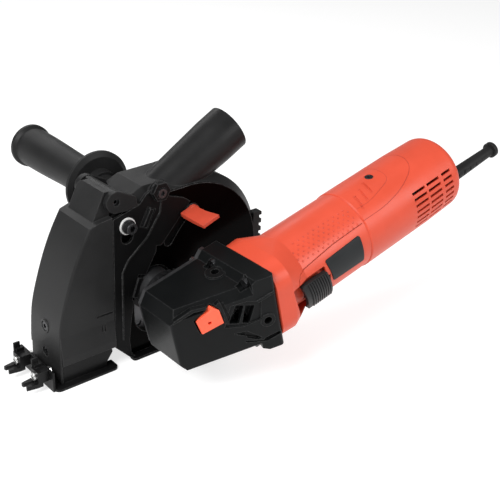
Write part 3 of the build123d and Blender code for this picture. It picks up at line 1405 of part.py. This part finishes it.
# ---- spindle lock ---------------------------------------------------------------------
with BuildPart() as lock_button:
    with BuildSketch(beside(WELL_Y - LOCK_TRAVEL - 0.6)):
        with BuildLine():
            Polyline(*button_corners(0), close=True)
        make_face()
    extrude(amount=30)
    split(bisect_by=on_face(0, 0, 1.6), keep=Keep.BOTTOM)
    with BuildSketch(on_face(LOCK_A, LOCK_B, 5)):
        Circle(1.5)
    extrude(amount=-6, mode=Mode.SUBTRACT)
save(lock_button, "lock_button")

PIN_TIP_Y = CROWN_WEB_Y - 2.0
with BuildPart() as lock_pin:
    with BuildSketch(beside(PIN_TIP_Y)):
        with Locations((LOCK_PIN_A, LOCK_PIN_B)):
            Circle(2.4)
    extrude(amount=PIN_TIP_Y - WELL_Y + LOCK_TRAVEL + 0.6)
save(lock_pin, "lock_pin")

SPRING_R = 3.2
with BuildPart() as lock_spring:
    with BuildLine() as coil:
        Helix(pitch=1.2, height=4.4, radius=SPRING_R, center=point(LOCK_PIN_A, -101.5, LOCK_PIN_B),
              direction=(0, -1, 0))
    with BuildSketch(Plane(origin=coil.line @ 0, z_dir=coil.line % 0)):
        Circle(0.4)
    sweep(is_frenet=True)
save(lock_spring, "lock_spring")
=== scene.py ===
import bpy
import json
import math
from mathutils import Matrix, Vector


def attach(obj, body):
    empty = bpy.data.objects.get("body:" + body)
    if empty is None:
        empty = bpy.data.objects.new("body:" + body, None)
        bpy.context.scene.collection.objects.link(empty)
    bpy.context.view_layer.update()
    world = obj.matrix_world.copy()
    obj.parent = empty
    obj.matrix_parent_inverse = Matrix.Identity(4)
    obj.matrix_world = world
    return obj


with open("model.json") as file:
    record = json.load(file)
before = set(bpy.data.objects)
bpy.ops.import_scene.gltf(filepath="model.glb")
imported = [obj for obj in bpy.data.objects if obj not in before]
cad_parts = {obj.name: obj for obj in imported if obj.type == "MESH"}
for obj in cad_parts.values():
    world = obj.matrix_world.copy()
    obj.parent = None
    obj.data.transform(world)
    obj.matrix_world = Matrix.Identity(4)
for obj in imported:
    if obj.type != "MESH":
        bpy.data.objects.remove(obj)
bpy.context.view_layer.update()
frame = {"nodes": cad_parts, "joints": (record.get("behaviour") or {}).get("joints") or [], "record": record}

# ---- the motor unit's own directions --------------------------------------------------------
MM = 0.001
rotor = next(joint for joint in frame["joints"] if joint["name"] == "rotor_spin")
MOTOR = Vector(rotor["pos_m"])       # distances along the motor are counted from here
ALONG = Vector(rotor["axis"])        # its axis, towards the rear
NEAR = Vector((0, -1, 0))            # the side with the blank plate
UPWARDS = NEAR.cross(ALONG)          # square to both
BARREL_R = 35.4                      # motor housing, mm
REAR_R = 36.2                        # rear housing, mm

# ---- camera, floor and light, in metres -----------------------------------------------------
CAMERA_TURN = math.radians(42.24)    # from the near side towards the front
CAMERA_RISE = math.radians(26.71)
CAMERA_ROLL = math.radians(3.09)
CAMERA_PLACE = (-0.43196, -0.60153, 0.44186)
LENS = 65.58
SENSOR = 36

FLOOR_HALF = 6.0
FLOOR_DROP = 0.0004                  # keeps the floor clear of the sole
PAPER_TONE = 0.40
PAPER_GLOW = 0.72
SKY = 0.27
LAMPS = (                            # name, place, point it looks at, size, watts
    ("key", (-1.05, -0.25, 1.15), (0.0, -0.05, 0.1), (0.8, 0.8), 29),
    ("side", (0.7, -1.4, 0.9), (0.05, -0.1, 0.1), (0.7, 0.7), 14),
    ("top", (0.25, -0.1, 1.5), (0.1, -0.05, 0.1), (0.8, 0.8), 1.5),
    ("rim", (0.2, 1.2, 0.9), (0.0, 0.0, 0.12), (1.2, 0.4), 5),
)


def make_camera():
    back = Vector((-math.sin(CAMERA_TURN) * math.cos(CAMERA_RISE),
                   -math.cos(CAMERA_TURN) * math.cos(CAMERA_RISE),
                   math.sin(CAMERA_RISE)))
    level = Vector((math.cos(CAMERA_TURN), -math.sin(CAMERA_TURN), 0))
    upright = level.cross(-back)
    right = level * math.cos(CAMERA_ROLL) + upright * math.sin(CAMERA_ROLL)
    up = upright * math.cos(CAMERA_ROLL) - level * math.sin(CAMERA_ROLL)
    data = bpy.data.cameras.new("camera")
    data.sensor_width = SENSOR
    data.lens = LENS
    data.clip_start, data.clip_end = 0.01, 20
    camera = bpy.data.objects.new("camera", data)
    turned = Matrix((right, up, back)).transposed().to_4x4()
    camera.matrix_world = Matrix.Translation(CAMERA_PLACE) @ turned
    bpy.context.scene.collection.objects.link(camera)
    bpy.context.scene.camera = camera


def make_floor():
    corners = [(-FLOOR_HALF, -FLOOR_HALF, 0), (FLOOR_HALF, -FLOOR_HALF, 0),
               (FLOOR_HALF, FLOOR_HALF, 0), (-FLOOR_HALF, FLOOR_HALF, 0)]
    mesh = bpy.data.meshes.new("floor")
    mesh.from_pydata(corners, [], [(0, 1, 2, 3)])
    floor = bpy.data.objects.new("floor", mesh)
    floor.location.z = -FLOOR_DROP
    bpy.context.scene.collection.objects.link(floor)
    paper = bpy.data.materials.new("paper")
    paper.use_nodes = True
    shader = paper.node_tree.nodes["Principled BSDF"]
    shader.inputs["Base Color"].default_value = (PAPER_TONE, PAPER_TONE, PAPER_TONE, 1)
    shader.inputs["Emission Color"].default_value = (1, 1, 1, 1)
    shader.inputs["Emission Strength"].default_value = PAPER_GLOW
    shader.inputs["Roughness"].default_value = 0.9
    shader.inputs["Specular IOR Level"].default_value = 0.1
    mesh.materials.append(paper)


def make_light():
    world = bpy.data.worlds.new("studio")
    world.use_nodes = True
    sky = world.node_tree.nodes["Background"]
    sky.inputs["Color"].default_value = (1, 1, 1, 1)
    sky.inputs["Strength"].default_value = SKY
    bpy.context.scene.world = world
    bpy.context.scene.view_settings.view_transform = "Standard"
    for name, place, aim, size, watts in LAMPS:
        data = bpy.data.lights.new(name, "AREA")
        data.shape = "RECTANGLE"
        data.size, data.size_y = size
        data.energy = watts
        lamp = bpy.data.objects.new(name, data)
        lamp.location = place
        lamp.rotation_mode = "QUATERNION"
        lamp.rotation_quaternion = (Vector(aim) - Vector(place)).to_track_quat("-Z", "Y")
        bpy.context.scene.collection.objects.link(lamp)


# ---- how a material is built ----------------------------------------------------------------
CLOUD_SCALE = 38                     # noise cells per metre: broad, faint unevenness
SPECK_SCALE = 520                    # where edges are paled, by rubbed wear and by painted highlight, and where they aren't
STAIN_SCALE = 90
MARK_SCALE = 2200                    # machining marks
MARK_DEPTH = 0.000004
FLAT_FACING, EDGE_FACING = 0.995, 0.93


class Surface:
    """A node material built step by step round one Principled shader."""

    def __init__(self, name):
        self.material = bpy.data.materials.new(name)
        self.material.use_nodes = True
        self.tree = self.material.node_tree
        self.shader = self.tree.nodes["Principled BSDF"]
        self.place = self.node("ShaderNodeTexCoord").outputs["Object"]

    def node(self, kind, **settings):
        made = self.tree.nodes.new(kind)
        for key, value in settings.items():
            setattr(made, key, value)
        return made

    def link(self, source, target):
        self.tree.links.new(source, target)

    def noise(self, scale, detail, rough=0.55, stretch=(1, 1, 1)):
        shift = self.node("ShaderNodeMapping")
        shift.inputs["Scale"].default_value = stretch
        self.link(self.place, shift.inputs["Vector"])
        made = self.node("ShaderNodeTexNoise")
        made.inputs["Scale"].default_value = scale
        made.inputs["Detail"].default_value = detail
        made.inputs["Roughness"].default_value = rough
        self.link(shift.outputs["Vector"], made.inputs["Vector"])
        return made.outputs["Fac"]

    def ramp(self, value, low, high, start, end):
        """From start, where value is low, to end, where it is high."""
        made = self.node("ShaderNodeMapRange")
        made.inputs["From Min"].default_value = low
        made.inputs["From Max"].default_value = high
        made.inputs["To Min"].default_value = start
        made.inputs["To Max"].default_value = end
        self.link(value, made.inputs["Value"])
        return made.outputs["Result"]

    def mix(self, factor, first, second):
        """A colour between two, each given as three numbers or as another node's output."""
        made = self.node("ShaderNodeMix", data_type="RGBA")
        self.link(factor, made.inputs["Factor"])
        for value, socket in ((first, made.inputs["A"]), (second, made.inputs["B"])):
            if isinstance(value, tuple):
                socket.default_value = (*value, 1)
            else:
                self.link(value, socket)
        return made.outputs["Result"]

    def product(self, first, second):
        made = self.node("ShaderNodeMath", operation="MULTIPLY")
        self.link(first, made.inputs[0])
        self.link(second, made.inputs[1])
        return made.outputs["Value"]

    def edges(self, width):
        """1 at a sharp edge, 0 on a flat or smooth face."""
        rounded = self.node("ShaderNodeBevel", samples=6)
        rounded.inputs["Radius"].default_value = width
        plain = self.node("ShaderNodeNewGeometry")
        facing = self.node("ShaderNodeVectorMath", operation="DOT_PRODUCT")
        self.link(rounded.outputs["Normal"], facing.inputs[0])
        self.link(plain.outputs["Normal"], facing.inputs[1])
        return self.ramp(facing.outputs["Value"], FLAT_FACING, EDGE_FACING, 0, 1)

    def finish_normal(self, bumps, width):
        """Rounds the shading at edges and stacks the bumps: (height, distance, strength)."""
        rounded = self.node("ShaderNodeBevel", samples=4)
        rounded.inputs["Radius"].default_value = width
        last = rounded.outputs["Normal"]
        for height, distance, strength in bumps:
            bump = self.node("ShaderNodeBump")
            bump.inputs["Distance"].default_value = distance
            bump.inputs["Strength"].default_value = strength
            self.link(height, bump.inputs["Height"])
            self.link(last, bump.inputs["Normal"])
            last = bump.outputs["Normal"]
        self.link(last, self.shader.inputs["Normal"])


def scaled(colour, factor, gain=0.0):
    return tuple(min(1.0, part * factor + gain) for part in colour)


def moulded(name, colour, rough=0.42, grain=0.00006, grain_size=2200, edge=0.0006, edge_wear_and_highlight=0.35,
            specular=0.5, edge_gain=0.018, clouding=0.13):
    """Injection-moulded plastic or coated casting: fine grain, faint clouding, paler edges.

    grain is the grain's depth and edge the rounding's radius, in metres. grain_size is in noise
    cells per metre. worn is how far an edge goes to the paler colour that edge_gain lifts. The
    paler edge is rubbed wear and, where worn and edge_gain are set high, a painted highlight.
    """
    look = Surface(name)
    cloud = look.noise(CLOUD_SCALE, detail=4)
    fine = look.noise(grain_size, detail=2, rough=0.7)
    speck = look.noise(SPECK_SCALE, detail=2, rough=0.8)
    base = look.mix(look.ramp(cloud, low=0.32, high=0.68, start=0, end=1),
                    scaled(colour, 1 - clouding), scaled(colour, 1 + clouding))
    # Paler edges: rubbed wear, and painted highlight lines where the edge settings are high.
    wear_and_highlight_edges = look.product(look.edges(edge * 1.2),
                          look.ramp(speck, low=0.4, high=0.65, start=edge_wear_and_highlight * 0.3, end=edge_wear_and_highlight))
    coloured = look.mix(wear_and_highlight_edges, base, scaled(colour, 1.35, edge_gain))
    gloss = look.ramp(cloud, low=0.3, high=0.7, start=rough - 0.05, end=rough + 0.06)
    look.link(coloured, look.shader.inputs["Base Color"])
    look.link(gloss, look.shader.inputs["Roughness"])
    look.shader.inputs["Specular IOR Level"].default_value = specular
    look.finish_normal(((fine, grain, 0.6), (speck, grain * 1.5, 0.25)), edge)
    return look.material


def metal(name, colour, rough=0.3, brushed=(1, 1, 1), edge=0.0003, stain=0.2, metallic=1.0):
    """Steel, zinc plate, copper or brass with fine machining marks and slight staining."""
    look = Surface(name)
    marks = look.noise(MARK_SCALE, detail=3, rough=0.6, stretch=brushed)
    cloud = look.noise(STAIN_SCALE, detail=4)
    stained = look.mix(look.ramp(cloud, low=0.35, high=0.7, start=1, end=0),
                       colour, scaled(colour, 1 - stain))
    gloss = look.ramp(marks, low=0.3, high=0.7, start=rough - 0.06, end=rough + 0.12)
    look.link(stained, look.shader.inputs["Base Color"])
    look.link(gloss, look.shader.inputs["Roughness"])
    look.shader.inputs["Metallic"].default_value = metallic
    look.finish_normal(((marks, MARK_DEPTH, 0.4),), edge)
    return look.material


# ---- the looks, one for each slot and a few for single nodes --------------------------------
# Some own looks paint light: the near wall's plate is darkened for painted shade, and the washer is made
# near white for a painted highlight.
OWN_LOOK = {"side_plate": "plate_black_painted_shade", "front_cover": "cover_black",
            "cover_washer": "washer_painted_highlight", "hinge_pin": "black_steel"}


def shroud_looks():
    leathery = {"rough": 0.40, "grain": 0.00007, "grain_size": 1900}
    return {
        # Where the edge settings run high, as on the black parts here, the paler edges are painted highlight
        # lines as well as rubbed wear.
        "shroud_black": moulded("shroud_plastic", (0.0105, 0.0105, 0.0107), **leathery,
                                edge=0.0009, edge_wear_and_highlight=0.5, specular=0.13, edge_gain=0.05),
        "cover_black": moulded("cover_plastic", (0.0138, 0.0138, 0.0140), **leathery,
                               edge=0.0009, edge_wear_and_highlight=0.5, specular=0.15, edge_gain=0.05),
        # The near wall's plate: the shroud's black plastic darkened to paint the shade it lies in, with
        # painted highlight lines along its edges.
        "plate_black_painted_shade": moulded("plate_plastic_painted_shade", (0.0036, 0.0036, 0.0038), **leathery,
                               edge=0.0010, edge_wear_and_highlight=0.7, specular=0.07, edge_gain=0.08),
        # The guard panel: near black to paint the shade it lies in, with painted highlight lines along its
        # edges and slot.
        "panel_black": moulded("panel_gloss_painted_shade", (0.0009, 0.0007, 0.0007), rough=0.16,
                               grain=0.000008, grain_size=1200, edge=0.0011, edge_wear_and_highlight=0.9,
                               specular=0.022, edge_gain=0.09),
        "coated_steel": moulded("coated_steel", (0.0060, 0.0060, 0.0062), rough=0.32,
                                grain=0.00004, grain_size=1500, edge_wear_and_highlight=0.5, specular=0.14),
        "grip_black": moulded("grip_plastic", (0.0115, 0.0115, 0.0117), rough=0.46,
                              grain=0.00010, grain_size=1400, specular=0.14),
        "clip_black": moulded("clip_plastic", (0.0060, 0.0060, 0.0062), rough=0.34,
                              grain=0.00005, grain_size=2000, specular=0.16),
    }


def motor_looks():
    smooth = {"grain": 0.00004, "grain_size": 1800}
    return {
        # Its paler edges are painted highlight lines as well as rubbed wear.
        "head_black": moulded("head_coating", (0.0040, 0.0044, 0.0046), rough=0.33,
                              grain=0.00006, grain_size=1700, edge=0.0009, edge_wear_and_highlight=0.6,
                              specular=0.11, edge_gain=0.055),
        "housing_red": moulded("housing_plastic", (0.575, 0.067, 0.032), rough=0.38, **smooth,
                               edge_wear_and_highlight=0.22, specular=0.28, clouding=0.035),
        # Darker than the housing's red to paint the shade the lever lies in.
        "lever_red": moulded("lever_plastic_painted_shade", (0.46, 0.054, 0.027), rough=0.33, grain=0.00003,
                             grain_size=1800, edge_wear_and_highlight=0.3),
        "button_red": moulded("button_plastic", (0.86, 0.098, 0.038), rough=0.42, **smooth,
                              edge_wear_and_highlight=0.2),
        "plate_grey": moulded("blank_plate", (0.0150, 0.0165, 0.0175), rough=0.44,
                              grain=0.00002, grain_size=2500, edge_wear_and_highlight=0.1, specular=0.16),
        "switch_black": moulded("switch_plastic", (0.0098, 0.0102, 0.0106), rough=0.38,
                                grain=0.00006, grain_size=2000, specular=0.18),
        "sleeve_rubber": moulded("sleeve_rubber", (0.0135, 0.0135, 0.0137), rough=0.52,
                                 grain=0.00008, grain_size=1500, edge_wear_and_highlight=0.1, specular=0.16),
        "inner_plastic": moulded("inner_plastic", (0.04, 0.04, 0.04), rough=0.5),
        "fan_plastic": moulded("fan_plastic", (0.03, 0.03, 0.032), rough=0.5),
        "carbon": moulded("pressed_carbon", (0.012, 0.012, 0.012), rough=0.6),
    }


def metal_looks():
    return {
        "black_steel": metal("blackened_steel", (0.055, 0.055, 0.058), rough=0.34,
                             metallic=0.9),
        "zinc_steel": metal("zinc_plate", (0.72, 0.72, 0.71), rough=0.24),
        # Near white and half diffuse: a painted highlight for the washer's bright ring.
        "washer_painted_highlight": metal("washer_plate_painted_highlight", (0.86, 0.86, 0.85), rough=0.5, metallic=0.5),
        "bearing_steel": metal("ground_steel", (0.55, 0.55, 0.56), rough=0.2),
        # Darkened to paint the shade the discs lie in under the shroud.
        "disc_steel": metal("disc_steel", (0.12, 0.12, 0.125), rough=0.45),
        "cast_aluminium": metal("cast_aluminium", (0.14, 0.14, 0.145), rough=0.46, stain=0.35),
        "lamination_steel": metal("lamination_stack", (0.22, 0.22, 0.23), rough=0.45,
                                  brushed=(1, 1, 12)),
        "copper_wire": metal("copper_wire", (0.62, 0.22, 0.09), rough=0.35, brushed=(1, 8, 1)),
        "copper_bars": metal("copper_bars", (0.72, 0.34, 0.18), rough=0.3),
        "brass_parts": metal("brass_parts", (0.66, 0.48, 0.2), rough=0.32),
    }


def dress_nodes():
    """Every node takes the look of its slot, or its own where it has one."""
    looks = {**shroud_looks(), **motor_looks(), **metal_looks()}
    slots = {row["node"]: row["material_slot"] for row in frame["record"]["subparts"]}
    for name, piece in frame["nodes"].items():
        piece.data.materials.clear()
        piece.data.materials.append(looks[OWN_LOOK.get(name, slots[name])])


# ---- fine moulded lines and dots on the motor unit, some with painted shade -----------------
# Paths are (distance along the motor in mm, degrees up from the near side).
COVER_SEAM = ((114.6, 39), (129, 39), (143, 40), (163, 46), (179.5, 56), (189.1, 67),
              (193.4, 80), (194, 90))
# Painted shade along the crease round the crown's flat top, drawn as a dark line.
CROWN_SHADE_LINE = ((115.5, 57), (132, 57), (150, 63), (160, 68), (164, 76), (165, 90))
GRIP_BORDER = ((112, 37), (94.7, 36.4), (76.6, 35.6), (58.2, 33), (43.9, 30.2), (34.5, 28.6),
               (30.8, 21))
STEPS_PER_SPAN = 12
COVER_SEAM_HALF = 0.26               # half widths of the lines, mm
CROWN_SHADE_LINE_HALF = 0.14
GRIP_BORDER_HALF = 0.16
LINE_SINK, LINE_RISE = 0.3, 0.03     # a strip reaches from inside the wall to just above it

DOT_R = 0.95
DOT_RISE = 0.32
DOT_SIDES = 14
DOT_RINGS = ((1.0, -0.25), (0.86, 0.45), (0.5, 0.86))      # shares of its radius and its rise
DOT_ROWS = 6
DOTS_IN_ROW = 13
FIRST_ROW, ROW_STEP = 39.5, 5.4      # degrees up from the near side
FIRST_DOT, DOT_STEP = 38.0, 5.8      # mm along the motor
LAST_DOT = 110
TOP_ROWS = (4, 5)                    # these start further to the rear
TOP_ROWS_FROM = 44


def on_barrel(distance, angle, radius):
    """A point beside the barrel, with the angle counted up from the near side."""
    out = NEAR * math.cos(angle) + UPWARDS * math.sin(angle)
    return MOTOR + ALONG * (distance * MM) + out * (radius * MM)


def make_piece(name, verts, faces, body, material):
    mesh = bpy.data.meshes.new(name)
    mesh.from_pydata(verts, [], faces)
    mesh.validate()
    piece = bpy.data.objects.new(name, mesh)
    bpy.context.scene.collection.objects.link(piece)
    mesh.materials.append(material)
    for face in mesh.polygons:
        face.use_smooth = True
    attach(piece, body)


def between(share, before, start, end, after):
    """The value on a Catmull-Rom curve, a share of the way from start to end."""
    slope = end - before
    square = 2 * before - 5 * start + 4 * end - after
    cube = 3 * start - before - 3 * end + after
    return 0.5 * (2 * start + slope * share + square * share ** 2 + cube * share ** 3)


def smooth_path(points):
    """Points along a smooth curve through the given ones."""
    held = [points[0], *points, points[-1]]
    path = []
    for span in zip(held, held[1:], held[2:], held[3:]):
        for step in range(STEPS_PER_SPAN):
            share = step / STEPS_PER_SPAN
            path.append(tuple(between(share, *values) for values in zip(*span)))
    return path + [points[-1]]


def mirrored(path):
    """The same path on the far side, run the other way."""
    return [(distance, 180 - angle) for distance, angle in reversed(path)]


def make_line(name, path, radius, half_width, material):
    """A fine strip along a path on the barrel, standing just proud of it."""
    verts, faces = [], []
    corners = ((-1, -LINE_SINK), (-1, LINE_RISE), (1, LINE_RISE), (1, -LINE_SINK))
    for k, (distance, angle) in enumerate(path):
        before, after = path[max(k - 1, 0)], path[min(k + 1, len(path) - 1)]
        forward = after[0] - before[0]
        around = math.radians(after[1] - before[1]) * radius
        length = math.hypot(forward, around)
        for sign, lift in corners:
            place = distance - sign * half_width * around / length
            swing = math.radians(angle) + sign * half_width * forward / length / radius
            verts.append(on_barrel(place, swing, radius + lift))
    for k in range(len(path) - 1):
        for side in range(4):
            a, b = 4 * k + side, 4 * k + (side + 1) % 4
            faces.append((a, a + 4, b + 4, b))
    last = 4 * (len(path) - 1)
    faces += [(0, 1, 2, 3), (last + 3, last + 2, last + 1, last)]
    make_piece(name, verts, faces, "drive_unit", material)


def make_crown_line(name, half, half_width, material):
    """A line over the top of the rear housing, the same on both sides of its crown; it draws the cover's
    joint line and the crown's painted shade line.
    """
    path = smooth_path(half)
    make_line(name, path + mirrored(path[:-1]), REAR_R, half_width, material)


def add_dot(verts, faces, distance, angle):
    """One low dome: rings that close in to a top, and a flat underside inside the wall."""
    base = len(verts)
    for across, up in DOT_RINGS:
        for k in range(DOT_SIDES):
            turn = 2 * math.pi * k / DOT_SIDES
            place = distance + DOT_R * across * math.cos(turn)
            swing = angle + DOT_R * across * math.sin(turn) / BARREL_R
            verts.append(on_barrel(place, swing, BARREL_R + DOT_RISE * up))
    top = len(verts)
    verts.append(on_barrel(distance, angle, BARREL_R + DOT_RISE))
    for ring in range(len(DOT_RINGS) - 1):
        for k in range(DOT_SIDES):
            a = base + ring * DOT_SIDES + k
            b = base + ring * DOT_SIDES + (k + 1) % DOT_SIDES
            faces.append((a, b, b + DOT_SIDES, a + DOT_SIDES))
    last = top - DOT_SIDES
    faces += [(last + k, last + (k + 1) % DOT_SIDES, top) for k in range(DOT_SIDES)]
    faces.append(tuple(base + k for k in reversed(range(DOT_SIDES))))


def make_grip_dots(material):
    """Staggered dots that roughen the barrel where the palm holds it."""
    verts, faces = [], []
    for row in range(DOT_ROWS):
        angle = math.radians(FIRST_ROW + ROW_STEP * row)
        stagger = DOT_STEP / 2 if row % 2 else 0.0
        for step in range(DOTS_IN_ROW):
            distance = FIRST_DOT + DOT_STEP * step + stagger
            left_out = row in TOP_ROWS and distance < TOP_ROWS_FROM
            if distance <= LAST_DOT and not left_out:
                add_dot(verts, faces, distance, angle)
    make_piece("grip_dots", verts, faces, "drive_unit", material)


def make_details():
    # Dark red: the own colour of the joint and parting lines, and painted shade for the crown's crease line.
    joint_dark_and_painted_shade = moulded("joint_dark_and_painted_shade", (0.36, 0.026, 0.012), rough=0.5, grain=0.00003,
                         grain_size=1800, edge_wear_and_highlight=0.0)
    # Darker than the housing's red to paint the shade in the grip's dimples.
    dot_painted_shade = moulded("grip_dot", (0.55, 0.056, 0.026), rough=0.46, grain=0.00003,
                        grain_size=1800, edge_wear_and_highlight=0.1)
    make_crown_line("cover_seam", COVER_SEAM, COVER_SEAM_HALF, joint_dark_and_painted_shade)
    make_crown_line("crown_shade_line", CROWN_SHADE_LINE, CROWN_SHADE_LINE_HALF, joint_dark_and_painted_shade)
    border = smooth_path(GRIP_BORDER)
    make_line("near_grip_line", border, BARREL_R, GRIP_BORDER_HALF, joint_dark_and_painted_shade)
    make_line("far_grip_line", mirrored(border), BARREL_R, GRIP_BORDER_HALF, joint_dark_and_painted_shade)
    make_grip_dots(dot_painted_shade)


make_camera()
make_floor()
make_light()
dress_nodes()
make_details()
